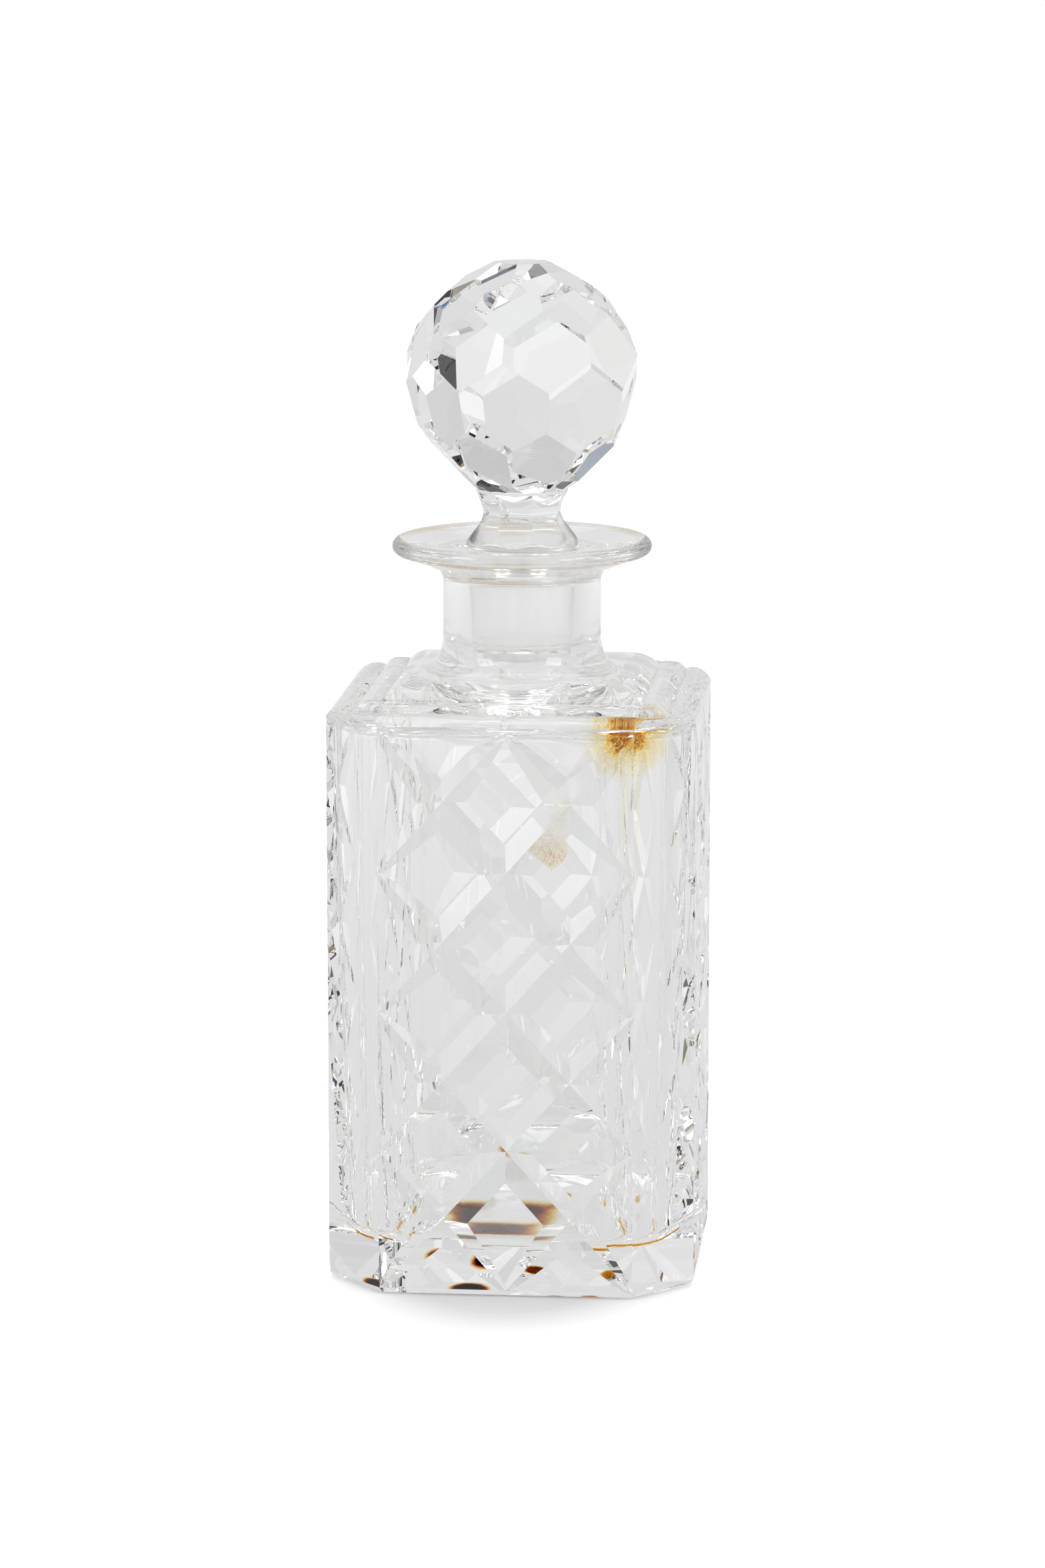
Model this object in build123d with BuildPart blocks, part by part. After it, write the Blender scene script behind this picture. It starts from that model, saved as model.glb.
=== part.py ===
"""Square cut crystal decanter with a facet-cut ball stopper.

Two pieces of glass: the bottle, which is cut, hollow and ground inside its neck, and the
stopper, a faceted ball on a fluted stem with a ground taper plug. Millimetres, +Z up.
The origin is the centre of the foot, and the front face looks along -Y.
"""
from build123d import *
from math import atan2, cos, degrees, hypot, radians, sin
import os

os.makedirs("parts", exist_ok=True)

# ---- body -------------------------------------------------------------------
body_width = 90.0            # across the flats, both ways
wall_top = 141.0             # where the flat walls give way to the shoulder
corner_leg = 14.0            # leg of the plain cut down each vertical corner
foot_bevel = 1.6             # leg of the bevel round the foot
base_glass = 10.0            # thickness of the solid bottom

# ---- lattice of V-cuts on each of the four faces ---------------------------------
cells_across = 4
cells_up = 8
lattice_margin = 1.4         # from the outermost crossings to the foot and to the wall top
cut_half_width = 4.9         # of a full V-cut at the face
cut_depth = 2.0              # of a full V-cut
tip_depth = 0.30             # where a cut runs out at the edge of its panel
mid_depth = 1.27             # half way along the run-out

# ---- shoulder: scallops cut along all four sides, (in from the wall, up from its top) ----
outer_crest = (2.4, 2.1)
outer_cusp = (6.8, 1.6)
inner_crest = (9.4, 3.8)
inner_cusp = (13.1, 3.6)
flat_crest = (16.0, 6.2)
flat_edge = (20.5, 7.7)      # where the flat round the neck begins
mitre_reach = 13.0           # sideways reach of the two shallow mitre cuts of each side
mitre_width = 1.1
mitre_depth = 0.45

# ---- neck and lip, heights above the flat of the shoulder ------------------------
neck_radius = 19.5
neck_foot_reach = 5.6        # sweep of the glass from the flat into the neck
neck_foot_rise = 8.3
neck_rise = 21.9             # up to where the neck flares into the lip
lip_rise = 32.3              # up to the highest part of the rim
mouth_rise = 30.1            # up to the ring round the mouth
lip_radius = 32.0
mouth_radius = 15.0

# ---- inside -----------------------------------------------------------------
wall_foot = 10.4             # glass between cavity and face, at the bottom
wall_head = 6.5              # and at the ceiling
cavity_corner_foot = 14.0
cavity_corner_head = 20.0
cavity_floor_fillet = 4.5
ceiling_glass = 8.5          # between the ceiling and the flat of the shoulder
ceiling_fillet = 3.6
throat_radius = 12.5         # of the unground glass under the plug
throat_flare = 8.0

# ---- ground joint of neck and plug, depths below the ring round the mouth ------------
plug_length = 28.0
plug_foot_radius = 12.05
plug_taper = 0.048           # growth of the radius for each millimetre upward
plug_clearance = 0.06        # on the radius, all the way down
ground_depth = 23.2          # of the ground zone in the neck
plug_chamfer = 0.5

# ---- stopper, heights above the ring round the mouth ----------------------------
collar_gap = 0.5             # between the stopper's collar and the ring
collar_radius = 13.8
stem_profile = (             # height, radius over the arrises, radius across a flute
    (10.7, 10.35, 9.45),
    (8.7, 9.90, 9.05),
    (7.3, 10.15, 9.30),
    (5.4, 11.10, 10.20),
    (3.6, 12.50, 11.60),
    (2.1, 13.50, 12.90),
    (0.8, 13.80, 14.30),
)
ring_rise = 13.8             # top of the band between stem and ball
ring_radius = 11.4
ball_rise = 42.4             # centre of the ball
ball_blank = 31.0            # radius of the ball before it is cut
ball_columns = 8             # facets round the ball in every row
stopper_turn = -4.3          # the way the first column faces, from -Y towards +X
facet_rows = (               # latitude, distance from the centre, turned by half a column
    (-56.5, 29.5, False),
    (-42.5, 27.2, True),
    (-14.2, 26.35, False),
    (19.8, 26.7, True),
    (44.0, 26.85, False),
    (60.7, 27.3, True),
)
crown_distance = 27.6        # of the flat on top

# ---- sizes that follow -------------------------------------------------------------
half_body = body_width / 2
panel_half = half_body - corner_leg
cell_width = 2 * panel_half / cells_across
cell_height = (wall_top - 2 * lattice_margin) / cells_up
flat_height = wall_top + flat_edge[1]
ceiling_height = flat_height - ceiling_glass
mouth_height = flat_height + mouth_rise
lip_height = flat_height + lip_rise
plug_foot = mouth_height - plug_length
ground_foot = mouth_height - ground_depth
collar_foot = mouth_height + collar_gap
ring_head = mouth_height + ring_rise
ball_height = mouth_height + ball_rise


def plug_radius(height):
    """Radius of the taper of the plug."""
    return plug_foot_radius + plug_taper * (height - plug_foot)


def bore_radius(height):
    """Radius of the ground bore that the plug sits in."""
    return plug_radius(height) + plug_clearance


# ---- cutters for the lattice ------------------------------------------------
climb = degrees(atan2(cell_height, cell_width))
cell_run = hypot(cell_height, cell_width)
run_out = ((0.0, tip_depth), (0.5, mid_depth), (1.0, cut_depth))


def cut_stations(cells):
    """Places along a cut and its depth there: it runs out over its first and last cell."""
    half = cells * cell_run / 2
    rise = [(-half + share * cell_run, depth) for share, depth in run_out]
    fall = [(-place, depth) for place, depth in reversed(rise)]
    return rise + fall if cells > 2 else rise + fall[1:]


def v_section(place, depth):
    """One cross-section of a V-cut: always the same triangle, standing out by its lift."""
    with BuildSketch(Plane(origin=(place, 0, 0), x_dir=(0, 1, 0), z_dir=(1, 0, 0))) as section:
        with BuildLine():
            top = cut_depth + 1.0
            half = cut_half_width * top / cut_depth
            Polyline((0, -depth), (half, top - depth), (-half, top - depth), close=True)
        make_face()
    return section.sketch


cutters = {}
for cells in (2, 4):
    with BuildPart() as cutter:
        loft([v_section(place, depth).face() for place, depth in cut_stations(cells)], ruled=True)
    cutters[cells] = cutter.part

# Centres of the cuts that climb to the right, as (cells, across, up) in cells from the middle.
half_up = cells_up / 2
rising_cuts = [(cells_across, 0, shift) for shift in (-2, 0, 2)]
rising_cuts += [(2, 1, 1 - half_up), (2, -1, half_up - 1)]

lattice = []
for turn in (0, 90, 180, 270):
    for side in (1, -1):
        for cells, across, up in rising_cuts:
            seat = Plane(
                origin=(
                    side * across * cell_width,
                    -body_width / 2,
                    lattice_margin + (half_up + up) * cell_height,
                ),
                x_dir=(side * cos(radians(climb)), 0, sin(radians(climb))),
                z_dir=(0, -1, 0),
            )
            lattice.append(Location((0, 0, 0), (0, 0, turn)) * seat.location)

# ---- the blown inside: a rounded square that widens upward -------------------
with BuildPart() as cavity:
    with BuildSketch(Plane.XY.offset(base_glass)):
        foot_width = body_width - 2 * wall_foot
        RectangleRounded(foot_width, foot_width, cavity_corner_foot)
    with BuildSketch(Plane.XY.offset(ceiling_height)):
        head_width = body_width - 2 * wall_head
        RectangleRounded(head_width, head_width, cavity_corner_head)
    loft()
    fillet(edges().group_by(Axis.Z)[0], cavity_floor_fillet)
    fillet(edges().group_by(Axis.Z)[-1], ceiling_fillet)

# ---- shallow mitre cuts: they fan from the middle of a side up to the neck ---------
flat_half = half_body - flat_edge[0]


def shoulder_line(drop=0.0):
    """The three scallops of the shoulder, from the wall to the flat."""
    steps = ((0, 0), outer_crest, outer_cusp, inner_crest, inner_cusp, flat_crest, flat_edge)
    points = [(half_body - inward, wall_top + rise - drop) for inward, rise in steps]
    for first in (0, 2, 4):
        ThreePointArc(*points[first : first + 3])


with BuildPart() as mitre_cuts:
    with BuildSketch(Plane.YZ):
        with BuildLine():
            shoulder_line(mitre_depth)
            Polyline(
                (flat_half, flat_height - mitre_depth),
                (flat_half, flat_height + 4),
                (half_body + 1, flat_height + 4),
                (half_body + 1, wall_top - mitre_depth),
                (half_body, wall_top - mitre_depth),
            )
        make_face()
        mirror(about=Plane.YZ)
    extrude(amount=mitre_reach + 2, both=True)
    with BuildSketch(Plane.XY.offset(wall_top - 5)):
        for side in (1, -1):
            tilt = degrees(atan2(half_body - flat_half, side * mitre_reach))
            with Locations(Location((side * mitre_reach / 2, -(half_body + flat_half) / 2), tilt)):
                Rectangle(hypot(mitre_reach, half_body - flat_half) + 1, mitre_width)
    extrude(amount=20, mode=Mode.INTERSECT)

# ---- bottle -----------------------------------------------------------------
with BuildPart() as bottle:
    # chamfered square block with a bevelled foot
    with BuildSketch():
        Rectangle(body_width, body_width)
        chamfer(vertices(), corner_leg)
    extrude(amount=flat_height + 2)
    chamfer(edges().group_by(Axis.Z)[0], foot_bevel)

    # scalloped shoulder, the same profile along both directions
    for side_view in (Plane.XZ, Plane.YZ):
        with BuildSketch(side_view):
            with BuildLine():
                Line((0, 0), (half_body + 1, 0))
                Line((half_body + 1, 0), (half_body + 1, wall_top))
                Line((half_body + 1, wall_top), (half_body, wall_top))
                shoulder_line()
                Line((flat_half, flat_height), (0, flat_height))
                Line((0, flat_height), (0, 0))
            make_face()
            mirror(about=Plane.YZ)
        extrude(amount=body_width, both=True, mode=Mode.INTERSECT)

    # neck and lip
    with BuildSketch(Plane.XZ):
        with BuildLine():
            Polyline(
                (0, ceiling_height + 2),
                (neck_radius + neck_foot_reach, ceiling_height + 2),
                (neck_radius + neck_foot_reach, flat_height),
            )
            EllipticalCenterArc(
                (neck_radius + neck_foot_reach, flat_height + neck_foot_rise),
                neck_foot_reach,
                neck_foot_rise,
                start_angle=180,
                arc_size=90,
            )
            Line((neck_radius, flat_height + neck_foot_rise), (neck_radius, flat_height + neck_rise))
            ThreePointArc(
                (neck_radius, flat_height + neck_rise),
                (neck_radius + 0.9, flat_height + neck_rise + 2.3),
                (neck_radius + 3.5, flat_height + neck_rise + 3.7),
            )
            Line(
                (neck_radius + 3.5, flat_height + neck_rise + 3.7),
                (lip_radius - 1.8, lip_height - 4.0),
            )
            ThreePointArc(
                (lip_radius - 1.8, lip_height - 4.0),
                (lip_radius, lip_height - 1.6),
                (lip_radius - 2.2, lip_height),
            )
            ThreePointArc(
                (lip_radius - 2.2, lip_height),
                ((lip_radius + mouth_radius) / 2 - 1.5, mouth_height + 0.8),
                (mouth_radius, mouth_height),
            )
            Polyline((mouth_radius, mouth_height), (0, mouth_height), (0, ceiling_height + 2))
        make_face()
    revolve(axis=Axis.Z)

    # the blown inside, and the throat and ground bore above it
    add(cavity.part, mode=Mode.SUBTRACT)
    with BuildSketch(Plane.XZ):
        with BuildLine():
            Polyline(
                (0, ceiling_height - 2),
                (throat_radius + throat_flare, ceiling_height - 2),
                (throat_radius + throat_flare, ceiling_height),
            )
            RadiusArc(
                (throat_radius + throat_flare, ceiling_height),
                (throat_radius, ceiling_height + throat_flare),
                throat_flare,
            )
            Polyline(
                (throat_radius, ceiling_height + throat_flare),
                (throat_radius, ground_foot - 0.4),
                (bore_radius(ground_foot), ground_foot),
                (bore_radius(mouth_height), mouth_height),
                (bore_radius(mouth_height) + 1.2, mouth_height + 1.5),
                (0, mouth_height + 1.5),
                (0, ceiling_height - 2),
            )
        make_face()
    revolve(axis=Axis.Z, mode=Mode.SUBTRACT)

    # the mitre cuts of all four sides
    with PolarLocations(0, 4):
        add(mitre_cuts.part, mode=Mode.SUBTRACT)

    # lattice on the four faces
    add(
        [place * cutters[rising_cuts[n % len(rising_cuts)][0]] for n, place in enumerate(lattice)],
        mode=Mode.SUBTRACT,
    )
bottle.part.label = "bottle"
export_step(bottle.part, "parts/bottle.step")

# ---- ball of the stopper -----------------------------------------------------
column = 360 / ball_columns
with BuildPart() as ball:
    with Locations((0, 0, ball_height)):
        Sphere(ball_blank)
    for latitude, distance, staggered in facet_rows:
        for n in range(ball_columns):
            heading = radians(stopper_turn + column * (n + 0.5 * staggered))
            normal = Vector(
                sin(heading) * cos(radians(latitude)),
                -cos(heading) * cos(radians(latitude)),
                sin(radians(latitude)),
            )
            split(
                bisect_by=Plane(Vector(0, 0, ball_height) + normal * distance, z_dir=normal),
                keep=Keep.BOTTOM,
            )
    split(bisect_by=Plane.XY.offset(ball_height + crown_distance), keep=Keep.BOTTOM)
    split(bisect_by=Plane.XY.offset(ring_head - 0.4), keep=Keep.TOP)

# ---- stopper ----------------------------------------------------------------
with BuildPart() as stopper:
    # fluted stem: a waisted round, cut to the flute profile from every side
    arrises = [(radius, mouth_height + rise) for rise, radius, _ in stem_profile]
    flutes = [(radius, mouth_height + rise) for rise, _, radius in stem_profile]
    with BuildSketch(Plane.XZ):
        with BuildLine():
            Line((0, ring_head), (ring_radius, ring_head))
            Line((ring_radius, ring_head), arrises[0])
            Spline(*arrises)
            Polyline(arrises[-1], (collar_radius, collar_foot), (0, collar_foot), (0, ring_head))
        make_face()
    revolve(axis=Axis.Z)
    for n in range(ball_columns // 2):
        with BuildSketch(Plane.XZ.rotated((0, 0, stopper_turn + n * column))):
            with BuildLine():
                Line((0, ring_head + 1), (ring_radius + 1, ring_head + 1))
                Line((ring_radius + 1, ring_head + 1), flutes[0])
                Spline(*flutes)
                Polyline(flutes[-1], (flutes[-1][0], collar_foot - 1), (0, collar_foot - 1),
                         (0, ring_head + 1))
            make_face()
            mirror(about=Plane.YZ)
        extrude(amount=2 * collar_radius, both=True, mode=Mode.INTERSECT)

    # ground plug
    with BuildSketch(Plane.XZ):
        Polygon(
            (0, plug_foot),
            (plug_foot_radius - plug_chamfer, plug_foot),
            (plug_radius(plug_foot + plug_chamfer), plug_foot + plug_chamfer),
            (plug_radius(collar_foot), collar_foot),
            (0, collar_foot),
            align=None,
        )
    revolve(axis=Axis.Z)

    # cut ball
    add(ball.part)
stopper.part.label = "stopper"
export_step(stopper.part, "parts/stopper.step")
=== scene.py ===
"""Square cut crystal decanter with its facet-cut ball stopper, on a plain pale floor."""
import math

import bmesh
import bpy
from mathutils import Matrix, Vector


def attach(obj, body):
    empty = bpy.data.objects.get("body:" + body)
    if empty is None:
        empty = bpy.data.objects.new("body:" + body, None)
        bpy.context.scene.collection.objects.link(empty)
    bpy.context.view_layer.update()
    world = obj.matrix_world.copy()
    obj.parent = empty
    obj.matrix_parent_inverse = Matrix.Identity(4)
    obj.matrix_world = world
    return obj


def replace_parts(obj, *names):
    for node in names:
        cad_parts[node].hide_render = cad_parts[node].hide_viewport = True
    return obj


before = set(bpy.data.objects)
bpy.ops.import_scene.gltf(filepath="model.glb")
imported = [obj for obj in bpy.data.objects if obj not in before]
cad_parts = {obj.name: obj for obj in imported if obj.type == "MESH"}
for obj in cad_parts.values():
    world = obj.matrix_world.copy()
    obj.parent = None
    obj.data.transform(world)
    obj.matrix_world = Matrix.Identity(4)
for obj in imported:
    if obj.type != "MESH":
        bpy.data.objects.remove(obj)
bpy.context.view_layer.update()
scene = bpy.context.scene

MM = 0.001
WELD = 4e-6                  # metres; points nearer than this become one
CRYSTAL_IOR = 1.545
CRYSTAL_COLOUR = (0.985, 0.988, 0.984)
DIRT_COLOUR = (0.66, 0.47, 0.24)
GROUND_ROUGHNESS = 0.09      # of the joint, ground matt


# ---- sizes in millimetres, heights above the foot --------------------------------------
# They are the CAD's, except the wall of the blown inside: see WALL_HALVES.
BODY_WIDTH, WALL_TOP, CORNER_LEG, FOOT_BEVEL = 90.0, 141.0, 14.0, 1.6
HALF = BODY_WIDTH / 2
ARRIS = 0.05                 # width of the round on every cut edge
ARRIS_ANGLE = math.radians(20)

# lattice of V-cuts
CELLS_ACROSS, CELLS_UP, LATTICE_MARGIN = 4, 8, 1.4
CELL_WIDTH = (BODY_WIDTH - 2 * CORNER_LEG) / CELLS_ACROSS
CELL_HEIGHT = (WALL_TOP - 2 * LATTICE_MARGIN) / CELLS_UP
CUT_HALF_WIDTH, CUT_DEPTH = 4.9, 2.0
RUN_OUT = [(0.0, 0.30), (0.25, 0.83), (0.5, 1.27), (0.75, 1.67), (1.0, CUT_DEPTH)]    # cells, depth
LATTICE_LENGTHS = {"Cell Width": CELL_WIDTH, "Cell Height": CELL_HEIGHT, "Lattice Foot": LATTICE_MARGIN,
                   "Face Reach": HALF}

# shoulder: crests and cusps of its scallops as (in from the wall, up from its top)
SHOULDER = [(0, 0), (2.4, 2.1), (6.8, 1.6), (9.4, 3.8), (13.1, 3.6), (16.0, 6.2), (20.5, 7.7)]
OUTER_CUSP, INNER_CUSP, FLAT_EDGE = SHOULDER[2][0], SHOULDER[4][0], SHOULDER[6][0]
MITRE_REACH, MITRE_DEPTH, MITRE_HALF_WIDTH = 13.0, 0.45, 1.2

# neck and lip
FLAT_HEIGHT, MOUTH_HEIGHT, LIP_HEIGHT = 148.7, 178.8, 181.0
NECK_RADIUS, LIP_RADIUS, MOUTH_RADIUS = 19.5, 32.0, 15.0
NECK_FOOT_REACH, NECK_FOOT_RISE = 5.6, 8.3
NECK_HEAD = FLAT_HEIGHT + 21.9
NECK_FOOT_RADIUS = NECK_RADIUS + NECK_FOOT_REACH

# stopper
GROUND_FOOT, PLUG_FOOT, PLUG_FOOT_RADIUS, PLUG_TAPER = 155.6, 150.8, 12.05, 0.048
PLUG_CLEARANCE, PLUG_CHAMFER = 0.06, 0.5
BALL_HEIGHT, RING_HEAD, COLLAR_FOOT, COLLAR_RADIUS = 221.2, 192.6, 179.3, 13.8
CROWN = 27.6                                                # of the ball, above its middle
BALL_LENGTHS = {"Ball Height": BALL_HEIGHT, "Crown": CROWN, "Foot": BALL_HEIGHT - RING_HEAD + 0.4}
BLANK_RADIUS, BLANK_STEPS, WHEEL_REACH, WHEEL_HEIGHT = 32, 12, 18, 8
STOPPER_TURN, COLUMNS = math.radians(-4.3), 8
FACET_ROWS = [(-56.5, 29.5, 0), (-42.5, 27.2, 1), (-14.2, 26.35, 0),       # latitude, distance, half turn
              (19.8, 26.7, 1), (44.0, 26.85, 0), (60.7, 27.3, 1)]
STEM = [(10.7, 10.35, 9.45), (8.7, 9.90, 9.05), (7.3, 10.15, 9.30), (5.4, 11.10, 10.20),
        (3.6, 12.50, 11.60), (2.1, 13.50, 12.90), (0.8, 13.80, 14.30)]     # above the mouth, radius, flat
FACETS = {}
for n, (latitude, distance, half_turn) in enumerate(FACET_ROWS, 1):
    FACETS |= {f"Row {n} Latitude": math.radians(latitude), f"Row {n} Distance": distance * MM,
               f"Row {n} Half Turn": float(half_turn)}


def plug_radius(height):
    return PLUG_FOOT_RADIUS + PLUG_TAPER * (height - PLUG_FOOT)


# ---- small helpers for materials ------------------------------------------------
def new_material(name):
    material = bpy.data.materials.new(name)
    material.use_nodes = True
    material.node_tree.nodes.clear()
    return material, material.node_tree


def add_node(tree, kind, **settings):
    node = tree.nodes.new(kind)
    for key, value in settings.items():
        if key in node.inputs and not hasattr(type(node), key):
            node.inputs[key].default_value = value
        else:
            setattr(node, key, value)
    return node


def math_node(tree, operation, first, second=None, third=None, clamp=False):
    node = tree.nodes.new("ShaderNodeMath")
    node.operation = operation
    node.use_clamp = clamp
    for slot, value in enumerate((first, second, third)):
        if value is None:
            continue
        if isinstance(value, (int, float)):
            node.inputs[slot].default_value = value
        else:
            tree.links.new(value, node.inputs[slot])
    return node.outputs[0]


def combined(tree, operation, values):
    """All the values taken together by one operation."""
    total = values[0]
    for value in values[1:]:
        total = math_node(tree, operation, total, value)
    return total


def times(tree, *values):
    return combined(tree, "MULTIPLY", values)


def plus(tree, *values):
    return combined(tree, "ADD", values)


def most(tree, *values):
    return combined(tree, "MAXIMUM", values)


def least(tree, *values):
    return combined(tree, "MINIMUM", values)


def scaled(tree, value, by, then_add, clamp=False):
    return math_node(tree, "MULTIPLY_ADD", value, by, then_add, clamp)


def apart(tree, value, place):
    """How far value is from place, either way."""
    return math_node(tree, "ABSOLUTE", math_node(tree, "SUBTRACT", value, place))


def clamped(tree, value):
    return math_node(tree, "ADD", value, 0.0, clamp=True)


def where(tree):
    """The point that is shaded and its X, Y and Z, in millimetres."""
    place = add_node(tree, "ShaderNodeTexCoord")
    millimetres = add_node(tree, "ShaderNodeVectorMath", operation="SCALE")
    millimetres.inputs["Scale"].default_value = 1 / MM
    tree.links.new(place.outputs["Object"], millimetres.inputs[0])
    axes = add_node(tree, "ShaderNodeSeparateXYZ")
    tree.links.new(millimetres.outputs[0], axes.inputs[0])
    return millimetres.outputs[0], *axes.outputs


def noise(tree, vector, scale, detail=6.0, roughness=0.6, distortion=0.0, stretch=(1, 1, 1)):
    """Noise about 0, from roughly -1 to 1, over millimetres."""
    mapping = add_node(tree, "ShaderNodeMapping")
    mapping.inputs["Scale"].default_value = stretch
    tree.links.new(vector, mapping.inputs["Vector"])
    texture = add_node(tree, "ShaderNodeTexNoise", Scale=scale, Detail=detail, Roughness=roughness,
                       Distortion=distortion)
    tree.links.new(mapping.outputs[0], texture.inputs["Vector"])
    return scaled(tree, texture.outputs["Fac"], 4.0, -2.0)


def fall(tree, value, full, none):
    """1 where value is at full or beyond, 0 at none, smooth between."""
    ease = add_node(tree, "ShaderNodeMapRange", interpolation_type="SMOOTHSTEP")
    for label, number in (("From Min", none), ("From Max", full)):
        ease.inputs[label].default_value = number
    tree.links.new(value, ease.inputs["Value"])
    return ease.outputs["Result"]


def oval(tree, across, up, middle=(0, 0), radii=(1, 1)):
    """Distance from the middle of an oval, 1 on its edge; plain distance if no radii are given."""
    shares = [scaled(tree, value, 1 / radius, -place / radius)
              for value, place, radius in zip((across, up), middle, radii)]
    return math_node(tree, "SQRT", plus(tree, *(times(tree, share, share) for share in shares)))


def ramp_colour(tree, amount, stops):
    """Colour along a ramp of (amount, colour) stops."""
    ramp = add_node(tree, "ShaderNodeValToRGB")
    elements = ramp.color_ramp.elements
    while len(elements) < len(stops):
        elements.new(0.5)
    for element, (place, colour) in zip(elements, stops):
        element.position, element.color = place, (*colour, 1)
    tree.links.new(amount, ramp.inputs["Fac"])
    return ramp.outputs["Color"]


def mixed(tree, share, first, second):
    """Mix of two shaders, the second by its share."""
    both = add_node(tree, "ShaderNodeMixShader")
    for socket, source in zip(both.inputs, (share, first, second)):
        tree.links.new(source, socket)
    return both.outputs[0]


def seen_by_lens(tree):
    return add_node(tree, "ShaderNodeLightPath").outputs["Is Camera Ray"]


def surface(tree, shader, kind="Material"):
    tree.links.new(shader, add_node(tree, f"ShaderNodeOutput{kind}").inputs["Surface"])


# ---- crystal ----------------------------------------------------------------
def crystal(name, ground_low, ground_high, ground_reach, dirt=None):
    """Polished crystal, matt where the joint is ground, with old dirt where it gathers."""
    material, tree = new_material(name)
    glass = add_node(tree, "ShaderNodeBsdfPrincipled", IOR=CRYSTAL_IOR)
    glass.inputs["Transmission Weight"].default_value = 1.0
    glass.inputs["Base Color"].default_value = (*CRYSTAL_COLOUR, 1)
    point, x, y, z = where(tree)
    radius = oval(tree, x, y)
    ground = times(tree, math_node(tree, "GREATER_THAN", z, ground_low),
                   math_node(tree, "LESS_THAN", z, ground_high),
                   math_node(tree, "LESS_THAN", radius, ground_reach))
    tree.links.new(times(tree, ground, GROUND_ROUGHNESS), glass.inputs["Roughness"])
    if dirt:
        colour = ramp_colour(tree, dirt(tree, point, z, radius, (x, y)),
                             [(0.0, CRYSTAL_COLOUR), (1.0, DIRT_COLOUR)])
        tree.links.new(colour, glass.inputs["Base Color"])
    surface(tree, glass.outputs[0])
    return material


def near_line(tree, value, place, half_width):
    """1 on the line where value is place, 0 from half_width off."""
    return fall(tree, apart(tree, value, place), 0.0, half_width)


def old_dirt(tree, point, z, radius, both_ways):
    """Dirt in the hollows of the shoulder, round the foot of the lip and under its edge."""
    patchy = fall(tree, noise(tree, point, 0.09, detail=6), 0.45, -0.55)
    hollows = [near_line(tree, math_node(tree, "ABSOLUTE", across), HALF - cusp, 0.75)
               for across in both_ways for cusp in (OUTER_CUSP, INNER_CUSP)]
    on_shoulder = math_node(tree, "GREATER_THAN", z, WALL_TOP + 0.2)
    in_hollows = times(tree, most(tree, *hollows), on_shoulder, 0.40)
    under_lip = times(tree, near_line(tree, z, MOUTH_HEIGHT - 1.5, 1.3),
                      math_node(tree, "GREATER_THAN", radius, LIP_RADIUS - 3))
    lip_foot = times(tree, near_line(tree, z, NECK_HEAD + 2.0, 1.5),
                     math_node(tree, "GREATER_THAN", radius, NECK_RADIUS - 1.5), 0.8)
    return times(tree, most(tree, in_hollows, under_lip, lip_foot), patchy)


bottle_crystal = crystal("bottle_crystal", GROUND_FOOT, MOUTH_HEIGHT - 0.2, 14.2, old_dirt)
stopper_crystal = crystal("stopper_crystal", PLUG_FOOT + 0.6, MOUTH_HEIGHT + 0.1, 13.6)


# ---- lines and solids -------------------------------------------------------------
def arc(first, middle, last, steps):
    """Points of the arc through three points, without its first point."""
    ax, ay, bx, by, cx, cy = *first, *middle, *last
    d = 2 * (ax * (by - cy) + bx * (cy - ay) + cx * (ay - by))
    a, b, c = ax**2 + ay**2, bx**2 + by**2, cx**2 + cy**2
    ux = (a * (by - cy) + b * (cy - ay) + c * (ay - by)) / d
    uy = (a * (cx - bx) + b * (ax - cx) + c * (bx - ax)) / d
    radius = math.hypot(ax - ux, ay - uy)
    start, via, stop = (math.atan2(y - uy, x - ux) for x, y in (first, middle, last))
    turn = (stop - start) % math.tau
    if (via - start) % math.tau > turn:
        turn -= math.tau
    angles = [start + turn * n / steps for n in range(1, steps + 1)]
    return [(ux + radius * math.cos(angle), uy + radius * math.sin(angle)) for angle in angles]


def curve(points, steps):
    """Smooth line through the points, Catmull-Rom, with steps points for each stretch."""
    ends = [tuple(2 * a - b for a, b in zip(points[0], points[1])), *points,
            tuple(2 * a - b for a, b in zip(points[-1], points[-2]))]
    line = []
    for p0, p1, p2, p3 in zip(ends, ends[1:], ends[2:], ends[3:]):
        for n in range(steps):
            t = n / steps
            line.append(tuple(0.5 * (2 * b + (c - a) * t + (2 * a - 5 * b + 4 * c - d) * t * t
                                     + (3 * b - a - 3 * c + d) * t**3)
                              for a, b, c, d in zip(p0, p1, p2, p3)))
    return line + [points[-1]]


def placed(name, data):
    """A new object at the origin of the scene."""
    piece = bpy.data.objects.new(name, data)
    scene.collection.objects.link(piece)
    return piece


def solid(name, vertices, faces, smooth=False):
    """A closed mesh object from millimetres, faces outward; smooth is a flag or one for each face."""
    mesh = bpy.data.meshes.new(name)
    mesh.from_pydata([tuple(c * MM for c in v) for v in vertices], [], faces)
    flags = smooth if isinstance(smooth, list) else [smooth] * len(faces)
    mesh.polygons.foreach_set("use_smooth", flags)
    shape = bmesh.new()
    shape.from_mesh(mesh)
    bmesh.ops.recalc_face_normals(shape, faces=shape.faces)
    shape.to_mesh(mesh)
    shape.free()
    return placed(name, mesh)


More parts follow.
